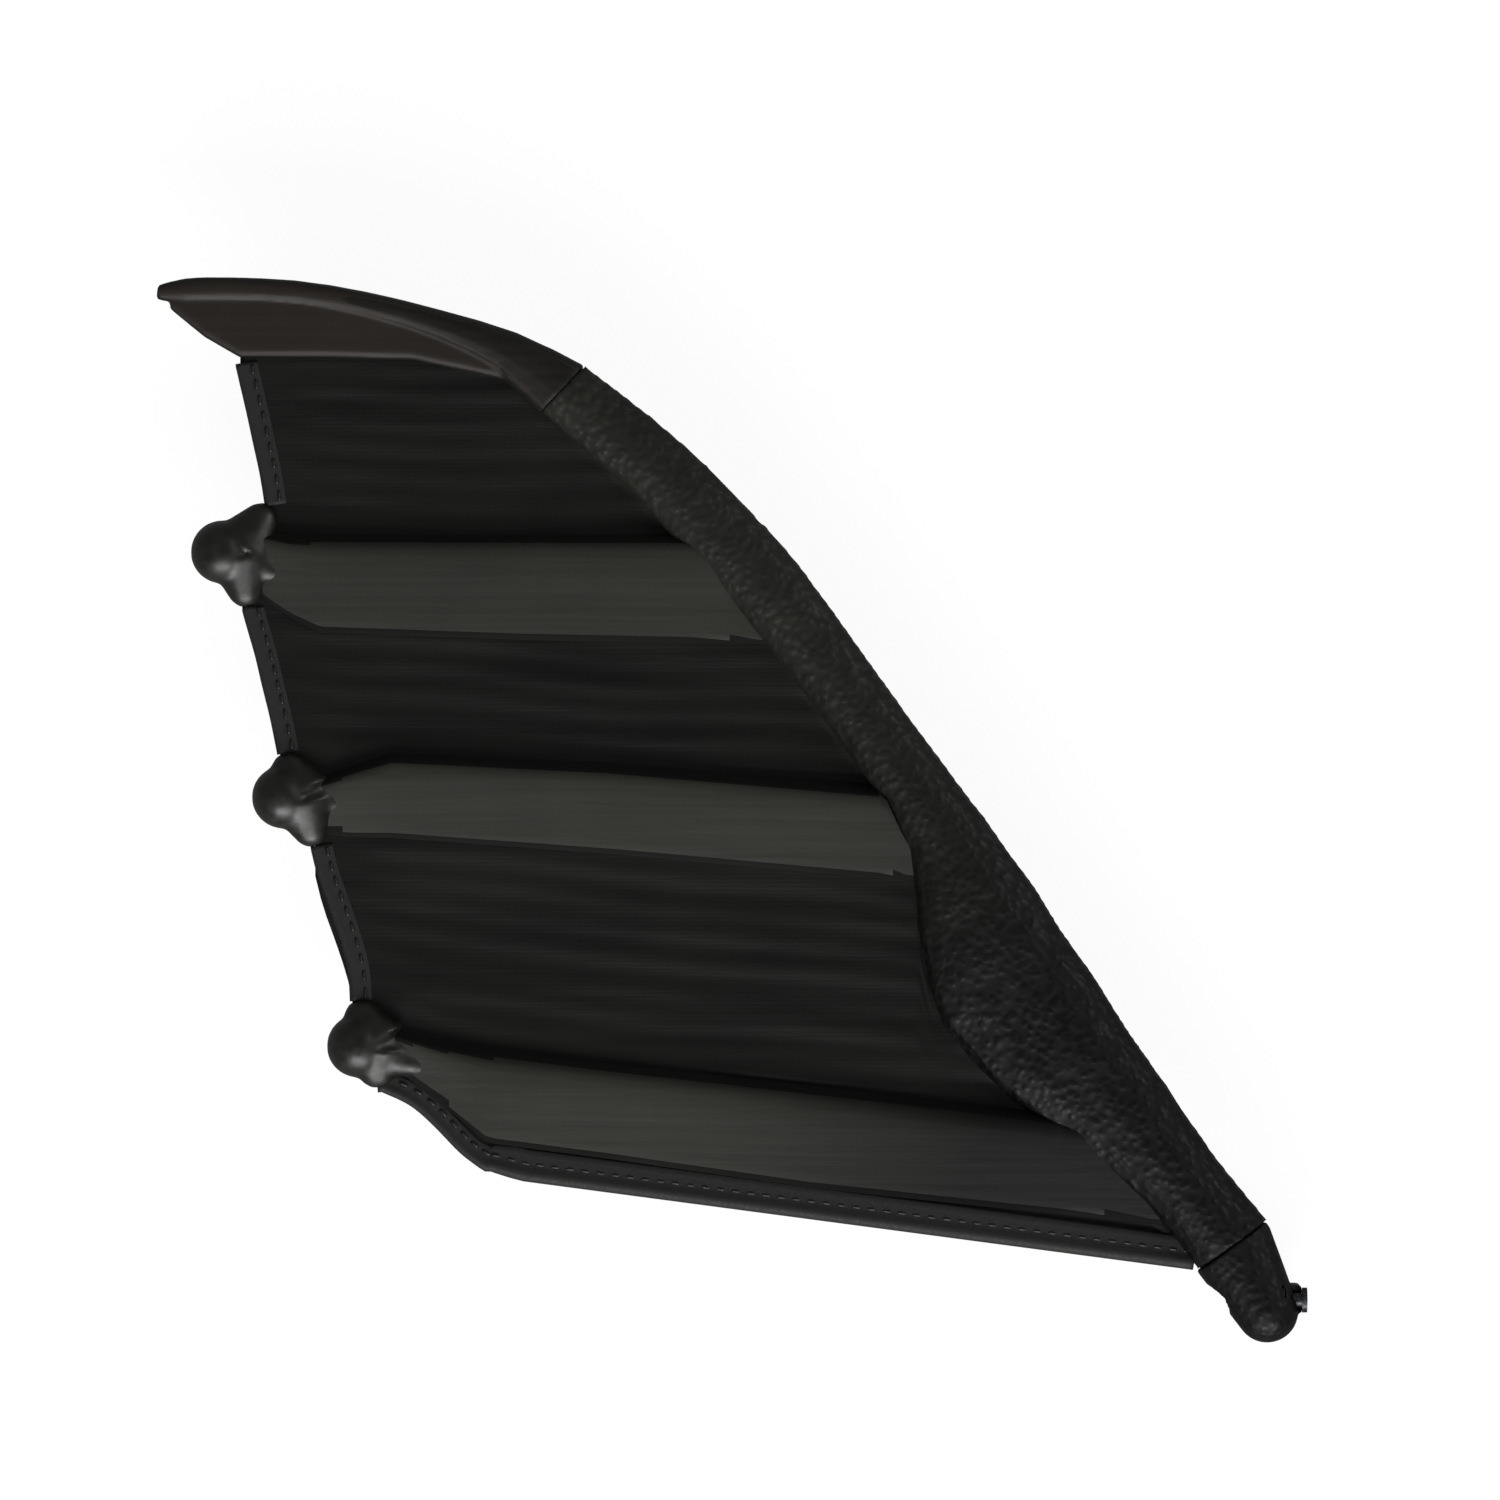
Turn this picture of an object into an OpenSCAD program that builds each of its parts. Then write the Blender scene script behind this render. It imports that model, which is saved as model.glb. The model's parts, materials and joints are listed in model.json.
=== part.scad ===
// Left wing of a flapping radio-controlled bat, seen from above with its nose towards +X.
// The flap axis runs along X, axis_height above the deck that the shoulder bracket bolts to.
// A carbon spar turns in the shoulder yoke, three fingers clamp the web behind it,
// and the hand folds down about the wrist pin.

/* [Shoulder] */
// Height of the flap axis and the wing plane above the deck
axis_height = 21; // [19:0.5:26]
// Radius of the flap pin
flap_pin_r = 1.5; // [1.2:0.1:1.8]
// Radius of the drive horn's hole
horn_hole_r = 1.0; // [0.8:0.1:1.3]
// Distance from the flap axis down to the horn's hole
horn_drop = 11.5; // [10:0.5:12]
// Radius of the two deck screw holes
deck_hole_r = 1.6; // [1.1:0.1:1.8]

/* [Arm] */
// Direction of the spar in the wing plane, in degrees from +X
spar_angle = 125.75; // [125:0.25:126.5]
// Outer radius of the carbon spar tube
spar_r = 2.5; // [2:0.1:2.6]
// Wall of the moulded arm and hand shells
shell_wall = 1.2; // [1:0.1:1.4]

/* [Wrist] */
// Spanwise place of the wrist pin
wrist_y = 154.6; // [154.4:0.1:154.8]
// Largest fold of the hand, which sets the relief under the wrist
wrist_fold = 50; // [30:5:60]

/* [Fingers] */
// Radius of the carbon rod in each finger
finger_rod_r = 1.25; // [1:0.05:1.3]
// Thickness of the web
web_t = 0.4; // [0.3:0.05:0.5]
// Height of each finger's crest above the web plane
finger_crest = 3.9; // [3.4:0.1:4.2]
// Radius of the soft bulb on each finger's tip
bulb_r = 6.4; // [6:0.1:6.6]
// Radius of the cord in each hem
hem_r = 1.0; // [0.8:0.1:1.2]

/* [Hidden] */

slack = 0.03;          // running clearance on a radius
gap = 0.3;             // gap between pieces that move past each other
eps = 0.01;            // overshoot of a cut
half_web = web_t / 2;
past = 20;             // how far a cut runs past what it cuts
deep = 9;              // taller than any half of the leading edge

// Leading edge stations, root to tip: [outer x, outer y, inner x, inner y, half height, crest].
// The crest is where the section is highest, as a share of the way from outer to inner.
ARM = [
    [-0.5, 16, -14.5, 6, 6.4, 0.5], [-11, 29, -25, 19, 6.8, 0.48], [-20.5, 43, -38.5, 30, 7, 0.38],
    [-30, 57, -53, 40.5, 7, 0.3], [-40, 72, -65.5, 54, 6.9, 0.28], [-49, 85.5, -70, 70.5, 6.6, 0.34],
    [-58.5, 98.5, -72, 89, 6.3, 0.5], [-70.5, 114.5, -82.5, 106, 6, 0.5],
    [-82, 130.5, -94, 122, 5.8, 0.5], [-94, 147, -106.5, 137.5, 5.5, 0.5],
    [-103, 157, -118.5, 150.5, 5.3, 0.5], [-112.5, 167, -127, 160.5, 5, 0.5],
    [-124, 177, -136, 168.5, 4.6, 0.5], [-137, 187, -146, 177.5, 4.2, 0.5]
];
ARM_TO = 11;           // last station that the arm's shells need
HAND_FROM = 9;         // first station that the hand's shells need
DIGIT = [
    [-137.5, 187.2, -146.5, 177.8, 4.1, 0.5], [-150.5, 193.5, -155.5, 186, 3.6, 0.45],
    [-165.5, 198, -167.5, 192.3, 3.2, 0.45], [-181, 201.8, -181.5, 196.7, 2.9, 0.45],
    [-195, 204, -195, 199.2, 2.6, 0.45], [-208, 204.6, -208.5, 199.8, 2.4, 0.45],
    [-217, 204.4, -217.5, 199.8, 2.2, 0.45], [-222.4, 203, -222.8, 200.4, 1.4, 0.45]
];
// Flank of the tip digit: [x, y at the web, y under the leading edge, height at the web]
DIGIT_FLANK = [
    [-151, 184, 188, 1.6], [-160, 186, 193, 1.8], [-172, 188.5, 197, 2], [-190, 189, 201, 2.2],
    [-200, 189, 202, 2.2], [-206.5, 189, 202.3, 2], [-213.5, 193, 202.3, 1.8], [-220, 198.3, 202, 1.3]
];

// Each finger: [bulb centre, rod end, stations], and each station is
// [tip-side x, tip-side y, root-side x, root-side y]. The last one lies along the arm.
FINGER_1 = [[-209.5, 149.6], [-113, 149.4], [
    [-205, 155, -205, 144.4], [-201, 154, -201, 140], [-196, 153.2, -196, 136.5],
    [-190, 153.2, -190, 133.5], [-150, 153.2, -150, 132], [-121.8, 153.2, -102.6, 131]]];
FINGER_2 = [[-197.3, 100.6], [-74, 95], [
    [-192.5, 103.5, -192.5, 96], [-188.5, 105, -188.5, 93], [-183, 107.2, -183, 92.6],
    [-175.5, 109.6, -175.5, 92.4], [-132, 107.6, -132, 89.2], [-92, 104.2, -92, 85.6],
    [-81, 103, -72.8, 84.6]]];
FINGER_3 = [[-182.3, 50.8], [-29.5, 32.6], [
    [-177.5, 55, -177.5, 48], [-173.5, 53.4, -173.5, 45.2], [-165, 51.6, -165, 38.6],
    [-154, 50.2, -156.5, 31.4], [-132, 47.4, -132, 28.2], [-92, 43, -92, 22.4],
    [-52, 38.4, -23.6, 15.2]]];
SCREWS_1 = [[-190, 143], [-155, 141], [-122, 141]];
SCREWS_2 = [[-172, 96.7], [-135, 94.6], [-98, 92]];
SCREWS_3 = [[-152, 40], [-112, 36], [-72, 31]];
ARM_SCREWS = [53, 86, 130, 160];              // distance along the spar
ARM_SCREW_SIDE = 5.2;                          // distance ahead of the spar
HAND_SCREWS = [[-122, 162.6, 4.2], [-135.6, 173.8, 3.7]];  // [x, y, height of the boss]
HAND_ROD = [[-113.2, 160.5], [-146.5, 186.7]];
SOCKET_2 = 120.4;                              // distance along the spar
SOCKET_3 = 43.7;

// Trailing edges of the web, each from its tip-side end to its root-side end.
EDGE_TIP = [
    [-206, 187.5], [-205.2, 184], [-203.8, 178], [-202.4, 171.5], [-201, 165], [-200, 158.6]];
EDGE_MIDDLE = [
    [-204.8, 138.8], [-203.5, 134.2], [-202, 129], [-200.6, 123], [-199, 116.5], [-197.5, 109]];
EDGE_ROOT = [
    [-191, 91], [-189.5, 85], [-187.2, 78.5], [-185, 72], [-183.4, 65.5], [-183, 59.4]];
EDGE_CORNER = [[-178.5, 43], [-171.5, 39.8], [-166, 35], [-161, 29.8], [-155.8, 26.3]];
EDGE_BODY = [[-154, 25.8], [-15, 7.4]];

HALF_STEPS = 7;        // steps round the upper or lower half of a lofted section

$fn = 48;

// ---- Curves ----

function blend(a, b, c, d, t) =
    0.5 * (2 * b + (c - a) * t + (2 * a - 5 * b + 4 * c - d) * t * t + (3 * b - a - 3 * c + d) * t * t * t);

function smooth(p, steps) = concat(
    [for (i = [0 : len(p) - 2], k = [0 : steps - 1])
        blend(p[max(i - 1, 0)], p[i], p[i + 1], p[min(i + 2, len(p) - 1)], k / steps)],
    [p[len(p) - 1]]);

function pull(from, to, by) = from + (to - from) * by / norm(to - from);

// ---- Lofts and sweeps ----

module loft(rings) {
    n = len(rings[0]);
    m = len(rings);
    sides = [for (i = [0 : m - 2], k = [0 : n - 1]) [i * n + k, i * n + (k + 1) % n,
        (i + 1) * n + (k + 1) % n, (i + 1) * n + k]];
    triangles = [for (q = sides) each [[q[0], q[1], q[2]], [q[0], q[2], q[3]]]];
    first = [for (k = [0 : n - 1]) n - 1 - k];
    last = [for (k = [0 : n - 1]) (m - 1) * n + k];
    polyhedron([for (r = rings) each r], concat([first], triangles, [last]));
}

// One half of a leading edge section, drawn in by wall. side is 1 for the upper half, -1 for the lower.
function half_arc(s, wall, side) =
    let (outer = [s[0], s[1]], inner = [s[2], s[3]],
         o = pull(outer, inner, wall), i = pull(inner, outer, wall * 1.6), h = s[4] - wall, c = s[5])
    [for (k = [0 : HALF_STEPS])
        let (t = 180 * k / HALF_STEPS, f = cos(t) > 0 ? c * (1 - cos(t)) : c - (1 - c) * cos(t))
        [o[0] + (i[0] - o[0]) * f, o[1] + (i[1] - o[1]) * f, side * h * sin(t)]];

function backwards(p) = [for (k = [len(p) - 1 : -1 : 0]) p[k]];

function solid_ring(s, wall) =
    let (top = half_arc(s, wall, 1), bottom = backwards(half_arc(s, wall, -1)))
    concat(top, [for (k = [1 : HALF_STEPS - 1]) bottom[k]]);

function lower_shell_ring(s) = concat(half_arc(s, shell_wall, -1), backwards(half_arc(s, 0, -1)));

function some(stations, from, to) = [for (i = [from : to]) stations[i]];

module leading_edge(stations, wall = 0) loft([for (s = smooth(stations, 2)) solid_ring(s, wall)]);

module half_shell(stations, side) mirror([0, 0, side > 0 ? 1 : 0])
    loft([for (s = smooth(stations, 2)) lower_shell_ring(s)]);

// A round cord swept along a flat route in the wing plane.
module cord(route, r, sides = 8) {
    n = len(route);
    loft([for (i = [0 : n - 1])
        let (run = route[min(i + 1, n - 1)] - route[max(i - 1, 0)], side = [run[1], -run[0]] / norm(run))
        [for (k = [0 : sides - 1])
            [route[i][0] + side[0] * r * cos(360 * k / sides),
             route[i][1] + side[1] * r * cos(360 * k / sides), r * sin(360 * k / sides)]]]);
}

// A close coil of round wire about X.
module coil(mean_r, wire_r, turns, pitch, sides = 6, per_turn = 14) {
    loft([for (i = [0 : turns * per_turn])
        let (a = 360 * i / per_turn)
        [for (k = [0 : sides - 1])
            let (r = mean_r + wire_r * cos(360 * k / sides))
            [pitch * a / 360 + wire_r * sin(360 * k / sides), r * cos(a), r * sin(a)]]]);
}

// ---- Placing ----

module wing_plane() translate([0, 0, axis_height]) children();

module spar_frame(along = 0) rotate([0, 0, spar_angle]) translate([along, 0, 0]) children();

module rod_along(from, to, r) {
    run = to - from;
    translate([from[0], from[1], 0]) rotate([0, 0, atan2(run[1], run[0])]) rotate([0, 90, 0])
        cylinder(r = r, h = norm(run));
}

module x_rod(x0, x1, r) translate([x0, 0, 0]) rotate([0, 90, 0]) cylinder(r = r, h = x1 - x0);

module ring(r_out, r_in, length) rotate([0, 90, 0]) difference() {
    cylinder(r = r_out, h = length);
    translate([0, 0, -eps]) cylinder(r = r_in, h = length + 2 * eps);
}

// ---- Shoulder ----

tongue_r = 4.2;
tongue_half = 2.8;
base_t = 3;
base_r = 5.5;
deck_holes = [10.5, 24.5];                     // distance along the spar

module shoulder_bracket() {
    color("#3b3d3e") difference() {
        union() {
            translate([-tongue_half, 0, axis_height]) rotate([90, 0, 90])
            linear_extrude(2 * tongue_half) union() {
                circle(r = tongue_r);
                translate([-tongue_r, base_t - axis_height]) square([2 * tongue_r, axis_height - base_t]);
            }
            linear_extrude(base_t) rotate(spar_angle) union() {
                circle(r = base_r);
                translate([0, -base_r]) square([deck_holes[1], 2 * base_r]);
                translate([deck_holes[1], 0]) circle(r = base_r);
            }
            translate([-4.2, -tongue_r, base_t]) cube([8.4, 2 * tongue_r, 1.6]);
        }
        translate([0, 0, axis_height]) x_rod(-past, past, bush_r);
        for (l = deck_holes) spar_frame(l) translate([0, 0, -eps]) cylinder(r = deck_hole_r, h = past);
    }
}

bush_r = 2.4;

module flap_bushes() {
    color("#b08d4a") wing_plane() for (side = [0, 1]) mirror([side, 0, 0]) {
        ring_at = tongue_half;
        translate([0.1, 0, 0]) ring(bush_r, flap_pin_r + slack, ring_at - 0.1);
    }
}

barrel = [12, 34];                             // the yoke's bearing barrel, along the spar
barrel_r = 4.2;
slot_sweep = [-42, 22];                        // degrees the tongue needs in the yoke's slot
slot_side = 0.5;
liner_r = 3.2;
stop_at = 21.5;
horn = [3.8, 6.4];                             // the drive horn's faces, along X
horn_r = 2.6;

module yoke_slot() {
    slot_half = tongue_half + gap;
    translate([-slot_half, 0, 0]) rotate([90, 0, 90]) linear_extrude(2 * slot_half) union() {
        circle(r = tongue_r + 0.6);
        hull() for (a = slot_sweep) rotate(a)
            translate([-tongue_r - slot_side, -past]) square([2 * (tongue_r + slot_side), past]);
    }
}

module shoulder_yoke() {
    color("#191a18") wing_plane() difference() {
        union() {
            hull() {
                spar_frame(-1.5) translate([0, 1.8, 0]) sphere(r = 6.3, $fn = 32);
                spar_frame(11.8) scale([1, 1, 0.76]) rotate([0, 90, 0]) cylinder(r = 8.5, h = 1, $fn = 32);
            }
            spar_frame() x_rod(barrel[0], barrel[1], barrel_r);
            translate([horn[0], 0, 0]) rotate([90, 0, 90]) linear_extrude(horn[1] - horn[0]) union() {
                translate([0, -horn_drop]) circle(r = horn_r);
                translate([-horn_r, -horn_drop]) square([2 * horn_r, horn_drop]);
            }
        }
        yoke_slot();
        x_rod(-past, past, flap_pin_r);
        x_rod(6.4, past, 2.9);
        x_rod(-past, -7.4, 2.9);
        translate([0, 0, -horn_drop]) x_rod(-1, past, horn_hole_r);
        spar_frame() x_rod(9, barrel[1] + eps, liner_r);
        spar_frame(stop_at) cube([1.8, 3.8, past], center = true);
    }
}

module flap_pin() {
    color("#b9bcbe") wing_plane() {
        x_rod(-8.4, 6.4, flap_pin_r);
        x_rod(6.4, 7.4, 2.5);
    }
}

module flap_pin_clip() {
    color("#8a8d8f") wing_plane() translate([-8.0, 0, 0]) rotate([0, 90, 0])
    linear_extrude(0.6) difference() {
        circle(r = 2.7);
        circle(r = flap_pin_r);
        translate([0, -0.6]) square([past, 1.2]);
    }
}

module spar_bush_inner() {
    color("#d8d4c8") wing_plane() spar_frame(9) ring(liner_r, spar_r + slack, 6);
}

module spar_bush_outer() {
    color("#d8d4c8") wing_plane() spar_frame(28) {
        ring(liner_r, spar_r + slack, 6);
        translate([6, 0, 0]) ring(barrel_r, spar_r + slack, 0.8);
    }
}

module feather_spring() {
    color("#9a9c9e") wing_plane() spar_frame(23.6) coil(4.7, 0.28, 5, 0.75);
}

// ---- Arm ----

spar_ends = [9.3, 181];
SADDLES = [66, 104, 146];                      // distance along the spar
socket_r = spar_r + 1.3;
edge_rod_r = 1.3;

module spar_tube() {
    color("#141415") wing_plane() difference() {
        spar_frame(spar_ends[0]) ring(spar_r, 1.5, spar_ends[1] - spar_ends[0]);
        spar_frame(stop_at) translate([0, 0, -past]) cylinder(r = 0.75, h = 2 * past);
    }
}

module feather_stop_pin() {
    color("#b9bcbe") wing_plane() spar_frame(stop_at) translate([0, 0, -5]) cylinder(r = 0.75, h = 10);
}

// What every arm or hand shell leaves room for.
module skin_slots() {
    web_solid(web_tip_outline());
    web_solid(web_middle_outline());
    web_solid(web_root_outline());
    web_solid(web_edge_outline());
    web_solid(hinge_outline());
    for (f = [FINGER_1, FINGER_2, FINGER_3]) rod_along(f[0], f[1], finger_rod_r + 0.2);
    rod_along(EDGE_BODY[0], EDGE_BODY[1], edge_rod_r);
}

// The pockets for the sockets and the wrist block.
module arm_pockets() {
    for (p = [[SOCKET_2, FINGER_2], [SOCKET_3, FINGER_3]]) {
        spar_frame(p[0] - 3) x_rod(0, 6, socket_r);
        rod_along(pull(p[1][1], p[1][0], -1.1), pull(p[1][1], p[1][0], 2.1), finger_rod_r + 1.25);
    }
    wrist_block_body();
}

// Everything past the wrist gap: side is 1 to cut the hand's side off, -1 to cut the arm's side off.
// The gap is narrow above the pin, and opens below it so that the hand can fold.
module past_the_wrist(side) {
    open = gap + past * tan(wrist_fold / 2);
    translate([-160, wrist_y, 0]) rotate([90, 0, 90]) linear_extrude(80) polygon([
        [-side * gap, past], [-side * gap, 0], [-side * open, -past],
        [side * 180, -past], [side * 180, past]]);
}

module wrist_room() {
    translate([0, wrist_y, 0]) x_rod(-118.4, -104.3, knuckle_r + 0.7);
}

module arm_boss(z_from, z_to, r) {
    for (l = ARM_SCREWS) spar_frame(l) translate([0, -ARM_SCREW_SIDE, z_from])
        cylinder(r = r, h = z_to - z_from);
}

module saddles(z_from, z_to) {
    for (l = SADDLES) spar_frame(l) translate([-0.8, -3.6, z_from]) cube([1.6, 7.2, z_to - z_from]);
}

module arm_half(side) {
    z_from = side > 0 ? 0 : -deep;
    difference() {
        union() {
            half_shell(some(ARM, 0, ARM_TO), side);
            intersection() {
                leading_edge(some(ARM, 0, ARM_TO), shell_wall / 2);
                union() {
                    arm_boss(z_from, z_from + deep, 1.9);
                    saddles(z_from, z_from + deep);
                }
            }
        }
        past_the_wrist(1);
        skin_slots();
        arm_pockets();
        wrist_room();
        spar_frame(spar_ends[0]) x_rod(0, spar_ends[1] - spar_ends[0], spar_r);
    }
}

module arm_shell_upper() {
    color("#1f201e") wing_plane() difference() {
        arm_half(1);
        arm_boss(-eps, 3.2, 0.8);
    }
}

module arm_shell_lower() {
    color("#1b1c1a") wing_plane() difference() {
        arm_half(-1);
        arm_boss(-10, eps, 0.9);
        arm_boss(-10, -2.2, 1.7);
    }
}

module arm_screws() {
    color("#6d6f70") wing_plane() {
        arm_boss(-2.2, 3.0, 0.8);
        arm_boss(-3.4, -2.2, 1.6);
    }
}

// A ring clamped on the spar with a socket for a finger's rod.
module finger_socket(l, end, from) {
    difference() {
        union() {
            spar_frame(l - 3) ring(socket_r, spar_r, 6);
            rod_along(pull(end, from, -1), pull(end, from, 2), finger_rod_r + 1.2);
        }
        spar_frame(l - past) x_rod(0, 2 * past, spar_r);
        rod_along(end, pull(end, from, 12), finger_rod_r);
    }
}

module finger_socket_2() {
    color("#2a2b2a") wing_plane() finger_socket(SOCKET_2, FINGER_2[1], FINGER_2[0]);
}

module finger_socket_3() {
    color("#2a2b2a") wing_plane() finger_socket(SOCKET_3, FINGER_3[1], FINGER_3[0]);
}

// ---- Wrist ----

wrist_pin_r = 1.0;
knuckle_r = 2.6;
pin_head_r = 1.7;
block_half = 2.2;       // half the height of the wrist block
ears = [[-117, -114.6], [-107.4, -105]];
knuckle = [-111.6, -107.7];

module wrist_block_body() {
    spar_frame(169) x_rod(0, 12.5, spar_r + 1.1);
    for (e = ears) translate([0, wrist_y, 0]) {
        x_rod(e[0], e[1], knuckle_r);
        translate([e[0], -4, -block_half]) cube([e[1] - e[0], 4, 2 * block_half]);
    }
    translate([0, 0, -block_half]) linear_extrude(2 * block_half) polygon([
        [ears[0][0], 151.4], [ears[1][1], 151.4], [-101.6, 147.6], [-105.6, 142.6],
        [-110.6, 146.2], [-113.4, 148], [ears[0][0], 150]]);
}

module wrist_block() {
    color("#2a2b2a") wing_plane() difference() {
        wrist_block_body();
        spar_frame(168) x_rod(0, 13, spar_r);
        rod_along(FINGER_1[0], FINGER_1[1], finger_rod_r);
        translate([0, wrist_y, 0]) x_rod(-125, -100, wrist_pin_r);
        translate([0, wrist_y, 0]) x_rod(ears[0][1], ears[1][0], knuckle_r + gap);
    }
}

module wrist_pin() {
    color("#b9bcbe") wing_plane() translate([0, wrist_y, 0]) {
        x_rod(ears[0][0] - 0.6, ears[1][1], wrist_pin_r);
        x_rod(ears[1][1], ears[1][1] + 0.6, pin_head_r);
    }
}

module wrist_pin_clip() {
    color("#8a8d8f") wing_plane() translate([ears[0][0] - 0.4, wrist_y, 0]) rotate([0, 90, 0])
        linear_extrude(0.4) difference() {
            circle(r = 1.9);
            circle(r = wrist_pin_r);
            translate([0, -0.4]) square([past, 0.8]);
        }
}

module wrist_knuckle() {
    color("#2a2b2a") wing_plane() difference() {
        union() {
            translate([0, wrist_y, 0]) x_rod(knuckle[0], knuckle[1], knuckle_r);
            translate([knuckle[0], wrist_y, -1.6]) cube([knuckle[1] - knuckle[0], 5, 3.2]);
            rod_along(pull(HAND_ROD[0], HAND_ROD[1], -4), pull(HAND_ROD[0], HAND_ROD[1], 5), 2.4);
        }
        translate([0, wrist_y, 0]) x_rod(-125, -100, wrist_pin_r + 0.6);
        rod_along(HAND_ROD[0], HAND_ROD[1], 1.5);
    }
}

module wrist_bush() {
    color("#b08d4a") wing_plane() translate([knuckle[0], wrist_y, 0])
        ring(wrist_pin_r + 0.6, wrist_pin_r + slack, knuckle[1] - knuckle[0]);
}

module wrist_spring() {
    color("#9a9c9e") wing_plane() translate([-114.2, wrist_y, 0]) coil(1.7, 0.22, 4, 0.5);
}

// ---- Hand ----

module hand_boss(z_from, z_to, r) {
    for (p = HAND_SCREWS) translate([p[0], p[1], z_from]) cylinder(r = r, h = z_to - z_from);
}

module hand_half(side) {
    difference() {
        union() {
            half_shell(some(ARM, HAND_FROM, 13), side);
            for (p = HAND_SCREWS) translate([p[0], p[1], side > 0 ? 0 : -p[2]]) cylinder(r = 1.7, h = p[2]);
            hand_rib(side);
        }
        past_the_wrist(-1);
        web_solid(web_tip_outline());
        wrist_room();
        rod_along(HAND_ROD[0], HAND_ROD[1], 1.5);
    }
}

rib_half = 2.8;
rib_high = 3.9;

module hand_rib(side) {
    run = HAND_ROD[1] - HAND_ROD[0];
    translate([HAND_ROD[0][0], HAND_ROD[0][1], 0]) rotate([0, 0, atan2(run[1], run[0])])
        translate([18, -rib_half, side > 0 ? 0 : -rib_high]) cube([1.6, 2 * rib_half, rib_high]);
}

module hand_shell_upper() {
    color("#1f201e") wing_plane() difference() {
        hand_half(1);
        hand_boss(-eps, 2.4, 0.7);
    }
}

module hand_shell_lower() {
    color("#1b1c1a") wing_plane() difference() {
        hand_half(-1);
        hand_boss(-10, eps, 0.8);
        hand_boss(-10, -2.0, 1.5);
    }
}

module hand_screws() {
    color("#6d6f70") wing_plane() {
        hand_boss(-2.0, 2.2, 0.7);
        hand_boss(-2.9, -2.0, 1.4);
    }
}

module hand_rod() {
    color("#141415") wing_plane() rod_along(HAND_ROD[0], HAND_ROD[1], 1.5);
}

// The moulded last digit: a round leading edge with a flank that falls back to the web.
function flank_ring(s) =
    [[s[0], s[1], -s[3]], [s[0], s[2], -s[3]], [s[0], s[2], s[3] * 0.7], [s[0], s[1] + 1.2, s[3]],
     [s[0], s[1], s[3] * 0.6]];

module tip_digit() {
    color("#262624") wing_plane() difference() {
        union() {
            leading_edge(DIGIT);
            loft([for (s = DIGIT_FLANK) flank_ring(s)]);
        }
        web_solid(web_tip_outline());
        rod_along(HAND_ROD[0], HAND_ROD[1], 1.5);
    }
}

// ---- Fingers ----

// A finger's section at a share of the way from its tip side to its root side.
function across(s, share, z) = [s[0] + (s[2] - s[0]) * share, s[1] + (s[3] - s[1]) * share, z];

// Upper half: a crest near the tip side, falling to the root side.
function upper_ring(s) =
    let (w = norm([s[0] - s[2], s[1] - s[3]]), crest = min(finger_crest, 1.4 + w * 0.16))
    [across(s, 1, half_web), across(s, 1, 0.6), across(s, 0.75, crest * 0.46), across(s, 0.3, crest * 0.94),
     across(s, 0.16, crest), across(s, 0.04, crest * 0.8),
     across(s, 0, crest * 0.4), across(s, 0, half_web)];

function lower_ring(s) =
    let (w = norm([s[0] - s[2], s[1] - s[3]]), depth = min(2.9, 1.4 + w * 0.1))
    [across(s, 0, -half_web), across(s, 0, -depth * 0.4), across(s, 0.1, -depth), across(s, 0.4, -depth),
     across(s, 0.9, -1), across(s, 1, -0.6), across(s, 1, -half_web)];

module finger_half(finger, upper) {
    difference() {
        loft([for (s = finger[2]) upper ? upper_ring(s) : lower_ring(s)]);
        rod_along(finger[0], pull(finger[1], finger[0], -past), finger_rod_r);
        bulb_body(finger, 0.05);
    }
}

module finger_upper(finger, screws) {
    difference() {
        finger_half(finger, true);
        for (p = screws) translate([p[0], p[1], -eps]) cylinder(r = 0.7, h = 2.0);
    }
}

module finger_lower(finger, screws) {
    difference() {
        finger_half(finger, false);
        for (p = screws) translate([p[0], p[1], -past]) cylinder(r = 0.8, h = 2 * past);
        for (p = screws) translate([p[0], p[1], -past]) cylinder(r = 1.5, h = past - 1.3);
    }
}

module finger_rod(finger) {
    rod_along(pull(finger[0], finger[1], -2), finger[1], finger_rod_r);
}

// The soft bulb: a ball with a short neck over the finger's end.
neck_r = 3.1;
neck_long = 7;          // from the centre of the bulb to the end of its neck

module bulb_body(finger, grow = 0) {
    run = finger[1] - finger[0];
    translate([finger[0][0], finger[0][1], 0]) rotate([0, 0, atan2(run[1], run[0])]) rotate([0, 90, 0])
        rotate_extrude($fn = 40) intersection() {
            union() {
                circle(r = bulb_r + grow);
                square([neck_r + grow, neck_long + grow]);
            }
            translate([0, -bulb_r - 1]) square([bulb_r + 1, 2 * bulb_r + past]);
        }
}

module finger_bulb(finger) {
    difference() {
        bulb_body(finger);
        rod_along(pull(finger[0], finger[1], -2), finger[1], finger_rod_r);
    }
}

module finger_1_upper() color("#2e2f2b") wing_plane() finger_upper(FINGER_1, SCREWS_1);
module finger_1_lower() color("#262724") wing_plane() finger_lower(FINGER_1, SCREWS_1);
module finger_1_rod() color("#141415") wing_plane() finger_rod(FINGER_1);
module finger_1_bulb() color("#131412") wing_plane() finger_bulb(FINGER_1);
module finger_2_upper() color("#2e2f2b") wing_plane() finger_upper(FINGER_2, SCREWS_2);
module finger_2_lower() color("#262724") wing_plane() finger_lower(FINGER_2, SCREWS_2);
module finger_2_rod() color("#141415") wing_plane() finger_rod(FINGER_2);
module finger_2_bulb() color("#131412") wing_plane() finger_bulb(FINGER_2);
module finger_3_upper() color("#2e2f2b") wing_plane() finger_upper(FINGER_3, SCREWS_3);
module finger_3_lower() color("#262724") wing_plane() finger_lower(FINGER_3, SCREWS_3);
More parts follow.
